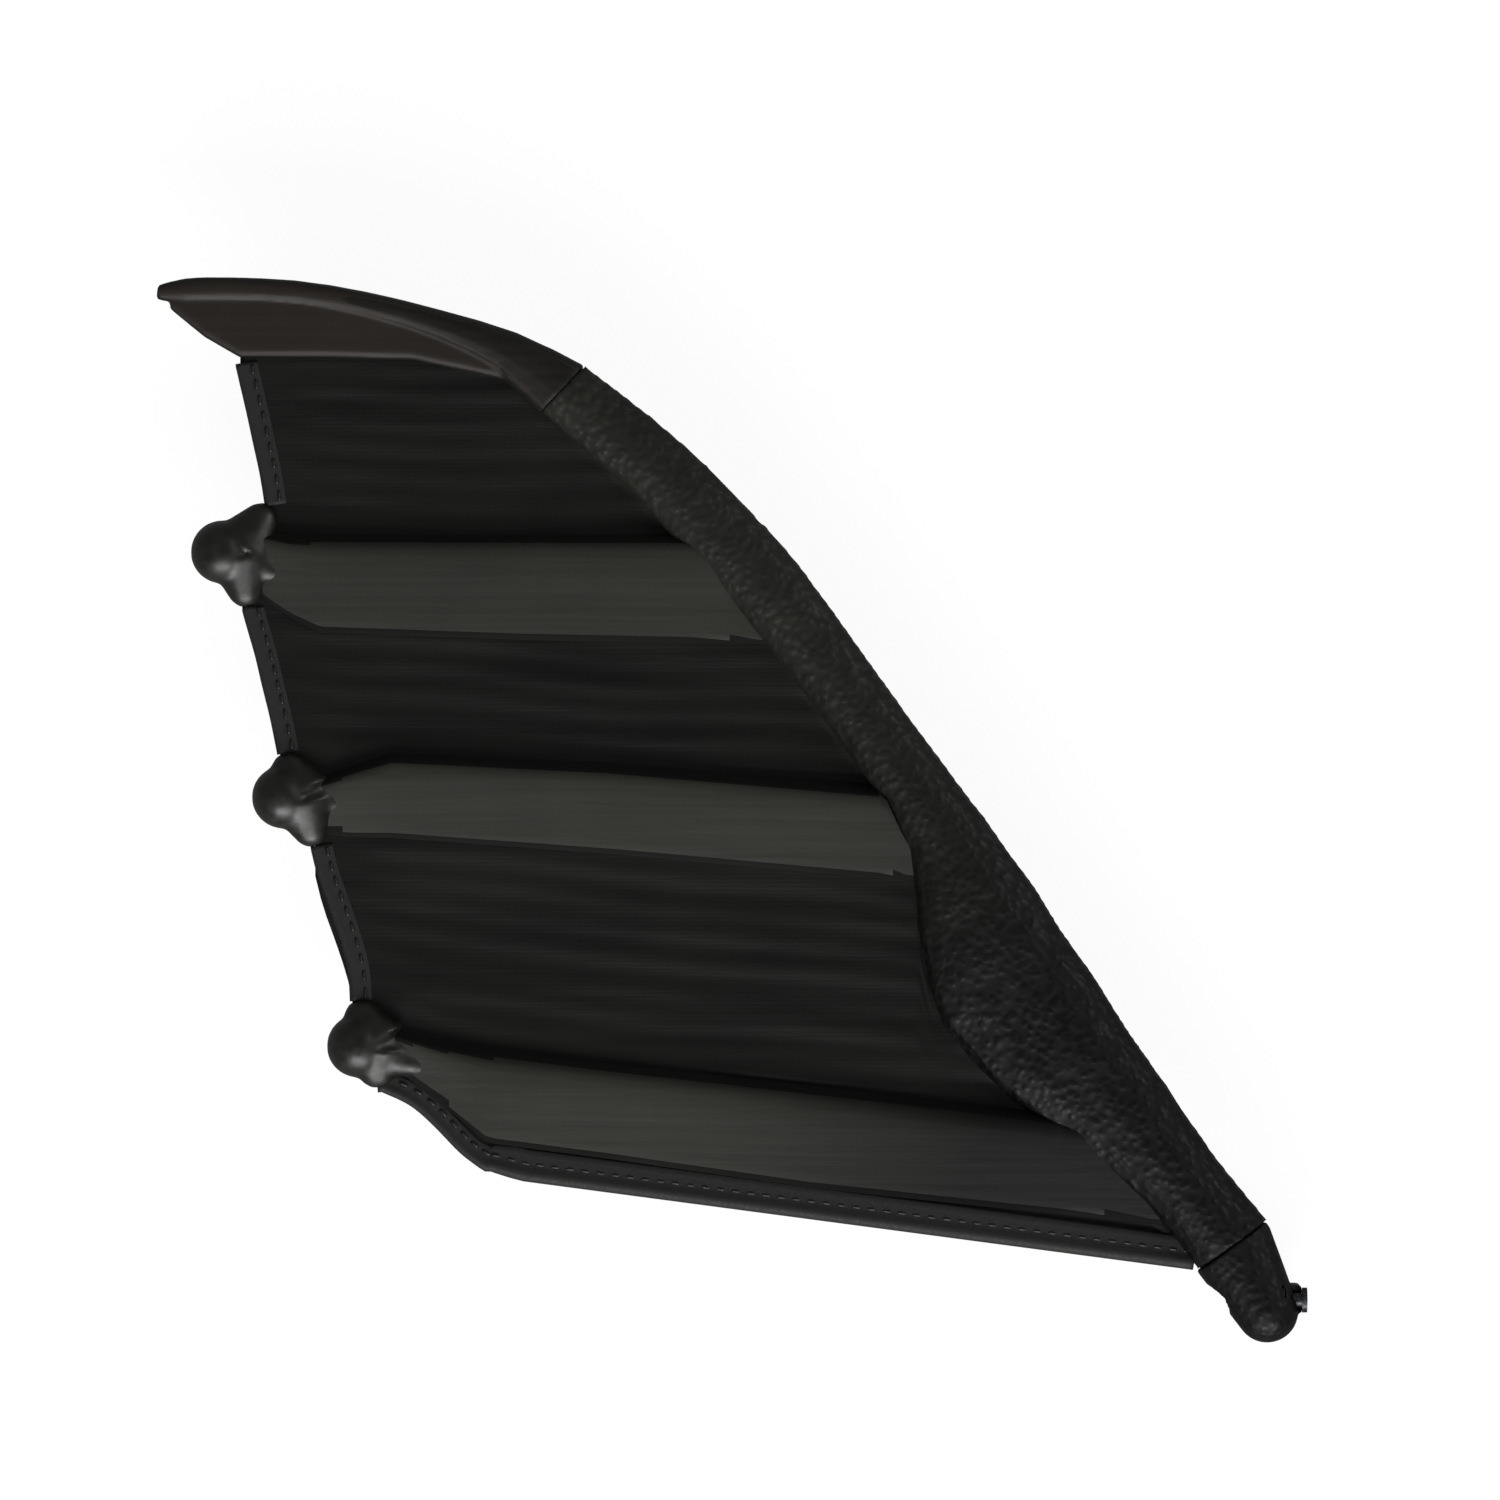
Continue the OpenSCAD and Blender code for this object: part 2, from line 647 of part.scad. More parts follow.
module finger_3_rod() color("#141415") wing_plane() finger_rod(FINGER_3);
module finger_3_bulb() color("#131412") wing_plane() finger_bulb(FINGER_3);

module finger_screws() {
    color("#6d6f70") wing_plane() for (p = concat(SCREWS_1, SCREWS_2, SCREWS_3)) translate([p[0], p[1], 0]) {
        translate([0, 0, -1.3]) cylinder(r = 0.7, h = 2.9);
        translate([0, 0, -2.1]) cylinder(r = 1.4, h = 0.8);
    }
}

// ---- Web ----

module web_solid(outline) translate([0, 0, -half_web]) linear_extrude(web_t) polygon(outline);

function web_tip_outline() = concat(
    smooth(EDGE_TIP, 3),
    [[-199.5, wrist_y + 0.6], [-120.6, wrist_y + 0.6], [-126, 161.5], [-134, 169.2],
     [-142.5, 176.2], [-147.2, 177.6], [-152.5, 186], [-160, 187.8], [-172, 191],
     [-190, 192], [-203.5, 192]]);

function hinge_outline() =
    [[-199.5, 151.4], [-199.5, wrist_y - 0.3], [-121.4, wrist_y - 0.3], [-119, 151.4]];

function web_middle_outline() = concat(
    smooth(EDGE_MIDDLE, 3),
    [[-193, 106], [-186, 103.5], [-175, 104.6], [-132, 102.6], [-92, 99.4], [-77.4, 100.6],
     [-93, 122.6], [-101, 134], [-104, 136.2], [-192, 138], [-200, 141.5]]);

function web_root_outline() = concat(
    smooth(EDGE_ROOT, 3),
    [[-178, 56.6], [-173, 52.5], [-168, 51], [-132, 46.5], [-92, 42.1], [-60, 38.6], [-51, 41.4],
     [-63.8, 55], [-68.4, 70.6], [-70.4, 86], [-92, 88.4], [-132, 92.2], [-172, 95], [-187.5, 94.3]]);

function web_edge_outline() = concat(
    [EDGE_BODY[0], [-18, 7.8], [-24, 18], [-32, 19.8], [-52, 22.4], [-92, 27.2], [-132, 33], [-155.5, 36],
     [-165, 41.5], [-174, 47]],
    smooth(EDGE_CORNER, 3));

module web_hinge_strip() color("#191917") wing_plane() web_solid(hinge_outline());

module web_middle() color("#191917") wing_plane() web_solid(web_middle_outline());
module web_root() color("#191917") wing_plane() web_solid(web_root_outline());
module web_edge_strip() color("#191917") wing_plane() web_solid(web_edge_outline());
module web_tip() color("#191917") wing_plane() web_solid(web_tip_outline());

module hem(route, outline) difference() {
    cord(smooth(route, 3), hem_r);
    web_solid(outline);
}

module hem_middle() color("#0f100e") wing_plane() hem(EDGE_MIDDLE, web_middle_outline());
module hem_root() color("#0f100e") wing_plane() hem(EDGE_ROOT, web_root_outline());
module hem_corner() color("#0f100e") wing_plane() hem(EDGE_CORNER, web_edge_outline());
module hem_tip() color("#0f100e") wing_plane() hem(EDGE_TIP, web_tip_outline());

module root_edge_rod() {
    color("#111210") wing_plane() difference() {
        rod_along(EDGE_BODY[0], EDGE_BODY[1], edge_rod_r);
        web_solid(web_edge_outline());
    }
}

shoulder_bracket();
flap_bushes();
shoulder_yoke();
flap_pin();
flap_pin_clip();
spar_bush_inner();
spar_bush_outer();
feather_spring();
spar_tube();
feather_stop_pin();
arm_shell_upper();
arm_shell_lower();
arm_screws();
finger_socket_2();
finger_socket_3();
wrist_block();
wrist_pin();
wrist_pin_clip();
finger_1_upper();
finger_1_lower();
finger_1_rod();
finger_1_bulb();
finger_2_upper();
finger_2_lower();
finger_2_rod();
finger_2_bulb();
finger_3_upper();
finger_3_lower();
finger_3_rod();
finger_3_bulb();
finger_screws();
web_hinge_strip();
web_middle();
web_root();
web_edge_strip();
hem_middle();
hem_root();
hem_corner();
root_edge_rod();
hand_shell_upper();
hand_shell_lower();
hand_screws();
hand_rod();
wrist_knuckle();
wrist_bush();
wrist_spring();
tip_digit();
web_tip();
hem_tip();
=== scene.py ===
"""The left wing of a flapping radio-controlled bat: its skins, fingers, web, hems and finishes."""
import json
import math

import bmesh
import bpy
import numpy as np
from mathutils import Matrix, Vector, noise


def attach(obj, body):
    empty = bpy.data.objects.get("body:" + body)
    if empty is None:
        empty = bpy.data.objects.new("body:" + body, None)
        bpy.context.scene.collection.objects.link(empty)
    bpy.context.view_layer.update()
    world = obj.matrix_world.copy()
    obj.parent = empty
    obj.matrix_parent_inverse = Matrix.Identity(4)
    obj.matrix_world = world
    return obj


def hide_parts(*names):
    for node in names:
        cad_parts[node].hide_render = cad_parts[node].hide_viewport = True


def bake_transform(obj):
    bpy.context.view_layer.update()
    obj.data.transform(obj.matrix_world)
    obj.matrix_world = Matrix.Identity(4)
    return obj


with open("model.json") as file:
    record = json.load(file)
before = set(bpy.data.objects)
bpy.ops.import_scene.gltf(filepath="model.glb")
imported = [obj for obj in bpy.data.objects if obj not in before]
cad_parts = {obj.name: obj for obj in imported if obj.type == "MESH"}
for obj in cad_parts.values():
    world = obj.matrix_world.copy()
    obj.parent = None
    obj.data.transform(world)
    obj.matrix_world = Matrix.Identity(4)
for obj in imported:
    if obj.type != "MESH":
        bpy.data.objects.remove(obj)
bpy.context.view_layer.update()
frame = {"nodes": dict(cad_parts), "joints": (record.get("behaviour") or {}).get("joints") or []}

MM = 0.001
joints = {j["name"]: j for j in frame["joints"]}
PLANE = joints["flap"]["pos_m"][2] / MM          # height of the wing plane, mm


class Cut:
    """The surface of one or more CAD nodes, cut by planes, in mm with z counted from the wing plane."""

    def __init__(self, *nodes):
        ends_a, ends_b = [], []
        for node in nodes:
            mesh = frame["nodes"][node].data
            co = np.array([v.co for v in mesh.vertices]) / MM - (0, 0, PLANE)
            edges = np.array([e.vertices[:] for e in mesh.edges])
            ends_a.append(co[edges[:, 0]])
            ends_b.append(co[edges[:, 1]])
        self.a, self.b = np.concatenate(ends_a), np.concatenate(ends_b)
        self.low = np.minimum(self.a, self.b).min(0)
        self.high = np.maximum(self.a, self.b).max(0)

    def at(self, axis, value):
        """The lowest and highest corner of the cut where axis (0 is x, 1 is y) has the value."""
        value = min(max(value, self.low[axis] + 0.02), self.high[axis] - 0.02)
        a, b = self.a[:, axis] - value, self.b[:, axis] - value
        hit = a * b < 0
        if not hit.any():               # between two nodes: take the cut on the far side of their gap
            return self.at(axis, value + 1.0)
        points = self.a[hit] + (self.b[hit] - self.a[hit]) * (a / (a - b + 1e-12))[hit, None]
        return points.min(0), points.max(0)

    def middle(self, axis, value):
        low, high = self.at(axis, value)
        return (low + high) / 2


# ---- Meshes, all in mm with z counted from the wing plane ----

def spaced(points, count):
    """The same line cut into count points an equal distance apart."""
    p = np.array(points, float)
    run = np.concatenate([[0], np.cumsum(np.linalg.norm(np.diff(p, axis=0), axis=1))])
    at = np.linspace(0, run[-1], count)
    return np.stack([np.interp(at, run, p[:, k]) for k in range(p.shape[1])], axis=1)


def ramp(low, high, x):
    """0 below low, 1 above high, and smooth between."""
    t = min(max((x - low) / (high - low), 0), 1)
    return t * t * (3 - 2 * t)


def placed(name, mesh):
    obj = bpy.data.objects.new(name, mesh)
    bpy.context.scene.collection.objects.link(obj)
    return obj


def mesh_of(name, verts, faces):
    mesh = bpy.data.meshes.new(name)
    mesh.from_pydata([(x * MM, y * MM, (z + PLANE) * MM) for x, y, z in verts], [], faces)
    return mesh


def piece(name, verts, faces):
    """An object from verts and faces, with its normals outward and its shading smooth."""
    mesh = mesh_of(name, verts, faces)
    work = bmesh.new()
    work.from_mesh(mesh)
    bmesh.ops.recalc_face_normals(work, faces=work.faces)
    work.to_mesh(mesh)
    work.free()
    for f in mesh.polygons:
        f.use_smooth = True
    return placed(name, mesh)


def together(parts):
    """The verts and faces of several parts as one list of each."""
    verts, faces = [], []
    for more, extra in parts:
        faces += [tuple(k + len(verts) for k in f) for f in extra]
        verts += more
    return verts, faces


def loft(rings):
    """Verts and faces of a closed skin over rings of equally many points, with a fan over each end."""
    n, verts, faces = len(rings[0]), [], []
    for ring in rings:
        verts += [tuple(p) for p in ring]
    for i in range(len(rings) - 1):
        for k in range(n):
            a, b = i * n + k, i * n + (k + 1) % n
            faces.append((a, b, b + n, a + n))
    for start, ring in ((0, rings[0]), ((len(rings) - 1) * n, rings[-1])):
        verts.append(tuple(np.mean(np.array(ring, float), axis=0)))
        faces += [(start + k, start + (k + 1) % n, len(verts) - 1) for k in range(n)]
    return verts, faces


def worked(obj, *modifiers):
    """Replaces obj's mesh with what the modifiers make of it."""
    for kind, settings in modifiers:
        m = obj.modifiers.new(kind.title(), kind)
        for key, value in settings.items():
            setattr(m, key, value)
    graph = bpy.context.evaluated_depsgraph_get()
    mesh = bpy.data.meshes.new_from_object(obj.evaluated_get(graph))
    obj.modifiers.clear()
    obj.data = mesh
    for f in mesh.polygons:
        f.use_smooth = True
    return obj


def pushed(obj, how):
    """Moves each vertex along its normal by how(x, y, z), all in mm."""
    mesh = obj.data
    co = np.array([v.co for v in mesh.vertices])
    normal = np.array([v.normal for v in mesh.vertices])
    by = np.array([how(x / MM, y / MM, z / MM - PLANE) for x, y, z in co])
    mesh.vertices.foreach_set("co", (co + normal * by[:, None] * MM).ravel())
    mesh.update()
    return obj


def dressed(obj, body, slot, material, *nodes, fold=None, level=0):
    """Takes a finish, hides the CAD nodes named, which it stands for, and rides on body; with fold, it is baked in
    place and rides on no body. slot is not used. level is not used."""
    obj.data.materials.clear()
    obj.data.materials.append(material)
    if nodes:
        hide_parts(*nodes)
    if fold:
        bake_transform(obj)
    else:
        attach(obj, body)
    return obj


# ---- Finishes ----

def linear(code):
    """A linear colour from an sRGB hex one."""
    parts = [int(code[i:i + 2], 16) / 255 for i in (1, 3, 5)]
    return tuple(c / 12.92 if c <= 0.04045 else ((c + 0.055) / 1.055) ** 2.4 for c in parts) + (1.0,)


def put(tree, kind, links=None, **settings):
    """Adds a node, sets what it is told, and fills its sockets with values or with other sockets."""
    node = tree.nodes.new(kind)
    for key, value in settings.items():
        setattr(node, key, value)
    for key, value in (links or {}).items():
        if isinstance(value, bpy.types.NodeSocket):
            tree.links.new(value, node.inputs[key])
        else:
            node.inputs[key].default_value = value
    return node


def blank(name):
    material = bpy.data.materials.new(name)
    material.use_nodes = True
    material.node_tree.nodes.clear()
    return material, material.node_tree


def finished(tree, sockets):
    shader = put(tree, "ShaderNodeBsdfPrincipled", sockets)
    put(tree, "ShaderNodeOutputMaterial", {"Surface": shader.outputs["BSDF"]})


def per(mm):
    """A texture scale that repeats about once in so many millimetres."""
    return 1 / (mm * MM)


def painted_shade_near_shoulder(tree, colour, near, far, least):
    """The colour, darker near the shoulder: painted shade for the shadowed root of the wing. near and far are mm
    out.
    """
    reach = put(tree, "ShaderNodeVectorMath", {0: put(tree, "ShaderNodeTexCoord").outputs["Object"]},
                operation="LENGTH")
    share = put(tree, "ShaderNodeMapRange", {"Value": reach.outputs["Value"], "From Min": near * MM,
                                             "From Max": far * MM, "To Min": least})
    return put(tree, "ShaderNodeMix", {"Factor": 1.0, "A": colour, "B": share.outputs["Result"]},
               data_type="RGBA", blend_type="MULTIPLY").outputs["Result"]


def pebbled_skin(name, low, high, pebble=1.5, depth=0.16, rough=(0.42, 0.66)):
    """Black TPU moulded against a leather-grained tool: raised pebbles, dull valleys, worn-smooth tops."""
    material, tree = blank(name)
    where = put(tree, "ShaderNodeTexCoord").outputs["Object"]
    bend = put(tree, "ShaderNodeTexNoise", {"Vector": where, "Scale": per(6), "Detail": 3})
    warped = put(tree, "ShaderNodeMix", {"Factor": 0.0012, "A": where, "B": bend.outputs["Color"]},
                 data_type="VECTOR")
    cells = put(tree, "ShaderNodeTexVoronoi", {"Vector": warped.outputs["Result"], "Scale": per(pebble)},
                feature="SMOOTH_F1")
    tops = put(tree, "ShaderNodeMapRange", {"Value": cells.outputs["Distance"], "From Min": 0.1, "From Max": 0.75,
                                            "To Min": 1.0, "To Max": 0.0}, interpolation_type="SMOOTHSTEP")
    fine = put(tree, "ShaderNodeTexNoise", {"Vector": where, "Scale": per(0.5), "Detail": 4})
    patches = put(tree, "ShaderNodeTexNoise", {"Vector": where, "Scale": per(16), "Detail": 3})
    shade = put(tree, "ShaderNodeMapRange", {"Value": patches.outputs["Fac"], "From Min": 0.35, "From Max": 0.65})
    both = put(tree, "ShaderNodeMath", {0: tops.outputs["Result"], 1: shade.outputs["Result"]},
               operation="MULTIPLY")
    colour = put(tree, "ShaderNodeMix", {"Factor": both.outputs[0], "A": linear(low), "B": linear(high)},
                 data_type="RGBA")
    dull = put(tree, "ShaderNodeMapRange", {"Value": tops.outputs["Result"], "To Min": rough[1],
                                            "To Max": rough[0]})
    grain = put(tree, "ShaderNodeBump", {"Height": fine.outputs["Fac"], "Strength": 0.25, "Distance": 0.05 * MM})
    bumps = put(tree, "ShaderNodeBump", {"Height": tops.outputs["Result"], "Strength": 0.9, "Distance": depth * MM,
                                         "Normal": grain.outputs["Normal"]})
    # The arm's colour is darkened towards the shoulder as painted shade.
    finished(tree, {"Base Color": painted_shade_near_shoulder(tree, colour.outputs["Result"], 80, 180, 0.0),
                    "Roughness": dull.outputs["Result"], "Normal": bumps.outputs["Normal"],
                    "Specular IOR Level": 0.25})
    return material


def drawn_nylon(name, low, high, rough=(0.4, 0.58)):
    """Glass-filled nylon, satin, with the faint lengthwise flow lines of a long thin moulding."""
    material, tree = blank(name)
    where = put(tree, "ShaderNodeTexCoord").outputs["Object"]
    along = put(tree, "ShaderNodeMapping", {"Vector": where, "Rotation": (0, 0, math.radians(4)),
                                            "Scale": (0.03, 1, 1)})
    lines = put(tree, "ShaderNodeTexNoise", {"Vector": along.outputs["Vector"], "Scale": per(1.6), "Detail": 5})
    broad = put(tree, "ShaderNodeTexNoise", {"Vector": along.outputs["Vector"], "Scale": per(7), "Detail": 2})
    fleck = put(tree, "ShaderNodeTexNoise", {"Vector": where, "Scale": per(0.35), "Detail": 3})
    patches = put(tree, "ShaderNodeTexNoise", {"Vector": where, "Scale": per(26), "Detail": 2})
    mixed = put(tree, "ShaderNodeMath", {0: lines.outputs["Fac"], 1: patches.outputs["Fac"]}, operation="ADD")
    share = put(tree, "ShaderNodeMapRange", {"Value": mixed.outputs[0], "From Min": 0.75, "From Max": 1.25})
    colour = put(tree, "ShaderNodeMix", {"Factor": share.outputs["Result"], "A": linear(low), "B": linear(high)},
                 data_type="RGBA")
    dull = put(tree, "ShaderNodeMapRange", {"Value": broad.outputs["Fac"], "From Min": 0.3, "From Max": 0.7,
                                            "To Min": rough[0], "To Max": rough[1]})
    specks = put(tree, "ShaderNodeBump", {"Height": fleck.outputs["Fac"], "Strength": 0.2, "Distance": 0.04 * MM})
    flow = put(tree, "ShaderNodeBump", {"Height": lines.outputs["Fac"], "Strength": 0.5, "Distance": 0.12 * MM,
                                        "Normal": specks.outputs["Normal"]})
    # The nylon's colour is darkened towards the shoulder as painted shade.
    finished(tree, {"Base Color": painted_shade_near_shoulder(tree, colour.outputs["Result"], 70, 118, 0.1),
                    "Roughness": dull.outputs["Result"], "Normal": flow.outputs["Normal"],
                    "Specular IOR Level": 0.22})
    return material


def coated_ripstop(name, low, high):
    """Thin woven nylon with a rubbery coat: a fine square weave, heavier ripstop threads, and pulled streaks.

    The weave is drawn at 0.8 mm, coarser than the real 0.2 mm, so that it shows."""
    material, tree = blank(name)
    where = put(tree, "ShaderNodeTexCoord").outputs["Object"]
    warp = put(tree, "ShaderNodeTexWave", {"Vector": where, "Scale": per(0.8 * 6.283) * 2, "Distortion": 0.3},
               bands_direction="X")
    weft = put(tree, "ShaderNodeTexWave", {"Vector": where, "Scale": per(0.8 * 6.283) * 2, "Distortion": 0.3},
               bands_direction="Y")
    weave = put(tree, "ShaderNodeMath", {0: warp.outputs["Fac"], 1: weft.outputs["Fac"]}, operation="MAXIMUM")
    along = put(tree, "ShaderNodeMapping", {"Vector": where, "Rotation": (0, 0, math.radians(4)),
                                            "Scale": (0.05, 1, 1)})
    streaks = put(tree, "ShaderNodeTexNoise", {"Vector": along.outputs["Vector"], "Scale": per(3.2), "Detail": 4})
    patches = put(tree, "ShaderNodeTexNoise", {"Vector": where, "Scale": per(22), "Detail": 4})
    mixed = put(tree, "ShaderNodeMath", {0: streaks.outputs["Fac"], 1: patches.outputs["Fac"]}, operation="ADD")
    share = put(tree, "ShaderNodeMapRange", {"Value": mixed.outputs[0], "From Min": 0.75, "From Max": 1.25})
    colour = put(tree, "ShaderNodeMix", {"Factor": share.outputs["Result"], "A": linear(low), "B": linear(high)},
                 data_type="RGBA")
    dull = put(tree, "ShaderNodeMapRange", {"Value": streaks.outputs["Fac"], "From Min": 0.3, "From Max": 0.7,
                                            "To Min": 0.5, "To Max": 0.68})
    threads = put(tree, "ShaderNodeBump", {"Height": weave.outputs[0], "Strength": 0.35, "Distance": 0.05 * MM})
    pulled = put(tree, "ShaderNodeBump", {"Height": streaks.outputs["Fac"], "Strength": 0.6, "Distance": 0.3 * MM,
                                          "Normal": threads.outputs["Normal"]})
    finished(tree, {"Base Color": colour.outputs["Result"], "Roughness": dull.outputs["Result"],
                    "Normal": pulled.outputs["Normal"], "Specular IOR Level": 0.18, "Sheen Weight": 0.04,
                    "Sheen Roughness": 0.4})
    return material


def grained(name, low, high, rough, size, depth, metallic=0.0, stretch=(1, 1, 1), coat=0.0, level=0.5):
    """A plain material whose colour, dullness and surface all wander with one grain of a real size in mm."""
    material, tree = blank(name)
    where = put(tree, "ShaderNodeTexCoord").outputs["Object"]
    turned = put(tree, "ShaderNodeMapping", {"Vector": where, "Scale": stretch})
    grain = put(tree, "ShaderNodeTexNoise", {"Vector": turned.outputs["Vector"], "Scale": per(size), "Detail": 5})
    share = put(tree, "ShaderNodeMapRange", {"Value": grain.outputs["Fac"], "From Min": 0.35, "From Max": 0.65})
    colour = put(tree, "ShaderNodeMix", {"Factor": share.outputs["Result"], "A": linear(low), "B": linear(high)},
                 data_type="RGBA")
    dull = put(tree, "ShaderNodeMapRange", {"Value": grain.outputs["Fac"], "From Min": 0.3, "From Max": 0.7,
                                            "To Min": rough[0], "To Max": rough[1]})
    bump = put(tree, "ShaderNodeBump", {"Height": grain.outputs["Fac"], "Strength": 0.5, "Distance": depth * MM})
    finished(tree, {"Base Color": colour.outputs["Result"], "Roughness": dull.outputs["Result"],
                    "Normal": bump.outputs["Normal"], "Metallic": metallic, "Coat Weight": coat,
                    "Coat Roughness": 0.15, "Specular IOR Level": level})
    return material


ARM_SKIN = pebbled_skin("pebbled_tpu", "#191a15", "#2b2c26")
# The finger tops: the nylon's own tone, made lighter still as painted light on the lit flanks. The undersides: a
# darker copy of the same nylon, painted shade.
FLANK_NYLON_WITH_PAINTED_LIGHT = drawn_nylon("satin_nylon_with_painted_light", "#242520", "#2b2c26")
UNDER_FLANK_PAINTED_SHADE = drawn_nylon("satin_nylon_underside_painted_shade", "#171815", "#1f201c")
DIGIT = drawn_nylon("satin_nylon_tip", "#121110", "#1f1d1a", rough=(0.42, 0.56))
# Near-black nylon for the finger margins: painted shade standing in for the grooves beside each finger.
GROOVE_SHADE_NYLON = drawn_nylon("painted_groove_shade", "#080907", "#0e0f0c", rough=(0.8, 0.95))
# Lighter, warmer nylon for the digit's up-facing shelf: painted light.
LIT_SHELF_NYLON = drawn_nylon("painted_lit_shelf_nylon", "#26211d", "#2c2723", rough=(0.45, 0.6))
WEB = coated_ripstop("coated_ripstop_nylon", "#0f0f0e", "#161614")
# Bound tape, duller and a little paler than the web where it has rubbed.
TAPE = grained("bound_tape", "#0b0c0a", "#191a17", (0.6, 0.8), 0.6, 0.08)
# Waxed polyester thread: nearly black, with a slight shine on each stitch.
THREAD = grained("waxed_thread", "#060605", "#0d0d0b", (0.4, 0.55), 0.3, 0.04)
# Soft moulded rubber: a dark gloss broken by handling.
RUBBER = grained("moulded_rubber", "#0b0b08", "#181812", (0.34, 0.5), 2.4, 0.06)
# Moulded nylon fittings: dense black with a fine spark-eroded texture.
FITTING = grained("spark_textured_nylon", "#141513", "#1f201d", (0.45, 0.6), 0.5, 0.05)
# Pultruded carbon: grey-black with lengthwise filaments under a thin lacquer.
CARBON = grained("pultruded_carbon", "#0c0c0d", "#242527", (0.25, 0.4), 0.5, 0.03, stretch=(0.1, 0.1, 1), coat=0.4)
# Oil-filled sintered bronze: warm and slightly speckled.
BRONZE = grained("sintered_bronze", "#8d6a38", "#b08a4c", (0.35, 0.5), 0.3, 0.03, metallic=1.0)
# Turned acetal: creamy and smooth.
ACETAL = grained("turned_acetal", "#cfcabb", "#dedacd", (0.3, 0.4), 1.5, 0.02)
# Ground steel pin: bright with faint scratches round it.
STEEL = grained("ground_steel", "#9b9ea0", "#c0c3c5", (0.2, 0.34), 0.3, 0.01, metallic=1.0, stretch=(1, 0.2, 0.2))
# Drawn spring wire and stamped clips: greyer, lightly oiled.
SPRING = grained("drawn_spring_steel", "#55585a", "#7d8082", (0.28, 0.42), 0.4, 0.01, metallic=1.0)
# Blackened screws: dark oxide, bright only where the driver has rubbed.
BLACKED = grained("blackened_steel", "#2a2b2c", "#55575a", (0.35, 0.55), 0.6, 0.02, metallic=1.0)

for node, material in {
        "shoulder_bracket": FITTING, "finger_socket_2": FITTING, "finger_socket_3": FITTING,
        "wrist_block": FITTING, "wrist_knuckle": FITTING, "flap_bushes": BRONZE, "wrist_bush": BRONZE,
        "flap_pin": BLACKED, "wrist_pin": STEEL, "feather_stop_pin": STEEL, "flap_pin_clip": BLACKED,
        "wrist_pin_clip": SPRING, "feather_spring": SPRING, "wrist_spring": SPRING, "arm_screws": BLACKED,
        "finger_screws": BLACKED, "hand_screws": BLACKED, "spar_bush_inner": ACETAL, "spar_bush_outer": ACETAL,
        "spar_tube": CARBON, "hand_rod": CARBON, "finger_1_rod": CARBON,
        "finger_2_rod": CARBON, "finger_3_rod": CARBON}.items():
    mesh = frame["nodes"][node].data
    mesh.materials.clear()
    mesh.materials.append(material)


# ---- Moulded skins: the arm with the hand, the shoulder and the tip digit ----

def joined(name, *parts):
    """One object from CAD nodes' meshes. Each part is (node, dx, dy): a second copy of a node, moved a little,
    carries its end into its neighbour."""
    verts, faces = [], []
    for node, dx, dy in parts:
        mesh, first = frame["nodes"][node].data, len(verts)
        verts += [(v.co.x / MM + dx, v.co.y / MM + dy, v.co.z / MM - PLANE) for v in mesh.vertices]
        faces += [tuple(first + k for k in f.vertices) for f in mesh.polygons]
    return placed(name, mesh_of(name, verts, faces))


def moulded(obj, grid, passes, relief):
    """Melts the facets together, softens the edges, and works the surface."""
    worked(obj, ("REMESH", {"mode": "VOXEL", "voxel_size": grid * MM}),
           ("SMOOTH", {"factor": 0.5, "iterations": passes}))
    return pushed(obj, relief)


SHOULDER = (-48, 60)   # the middle of the broad part of the hide, mm
SHOULDER_WIDE = 38.7   # how far its creases reach, mm


def hide_relief(x, y, z):
    """Slack hide: broad swells and creases at the shoulder, and small lumps that fade towards the wrist."""
    here = Vector((x, y, z))
    shoulder = math.exp(-((x - SHOULDER[0]) ** 2 + (y - SHOULDER[1]) ** 2) / SHOULDER_WIDE ** 2)
    swell = noise.noise(here / 10) * (0.06 + 0.35 * shoulder)
    creases = -abs(noise.noise(here / 6 + Vector((9, 2, 4)))) * 0.3 * shoulder
    lumps = noise.noise(here / 2.4) * (0.04 + 0.04 * shoulder)
    return min(swell + creases + lumps - 0.05 - 0.1 * shoulder, 0.1)


def plain_relief(x, y, z):
    return noise.noise(Vector((x, y, z)) / 6) * 0.04 - 0.02


WRIST_SPREAD = 5.0     # a reach each side of the wrist line, mm, passed as fold: the hide is kept in place, not bent
FOLD_LINE = 0.6        # a distance from the wrist line, mm, passed as fold: the tip web and the first boot are kept in place, not folded
WRIST_STEP = (-0.5, 0.7)  # how far the arm's hide runs on into the hand's, mm
RUN_ON = 0.5           # how far the knob and the digit run in towards their neighbours, mm

for half in ("upper", "lower"):
    arm, hand = f"arm_shell_{half}", f"hand_shell_{half}"
    hide = joined(f"arm_hide_{half}", (arm, 0, 0), (hand, 0, 0), (arm, *WRIST_STEP))
    dressed(moulded(hide, 0.5, 8, hide_relief), None, "grained_skin", ARM_SKIN, arm, hand,
            fold=WRIST_SPREAD, level=PLANE * MM)

along = joints["feather"]["axis"]
knob = joined("shoulder_knob", ("shoulder_yoke", 0, 0), ("shoulder_yoke", along[0] * RUN_ON, along[1] * RUN_ON))
dressed(moulded(knob, 0.35, 4, plain_relief), "yoke", "moulded_nylon", ARM_SKIN, "shoulder_yoke")

# The thin up-facing shelf of the digit, beside its bead, is coloured lighter and warmer than the bead: painted
# light where the shelf faces the light.
SHELF_LOW, SHELF_HIGH = 0.6, 2.7  # heights of that shelf, mm

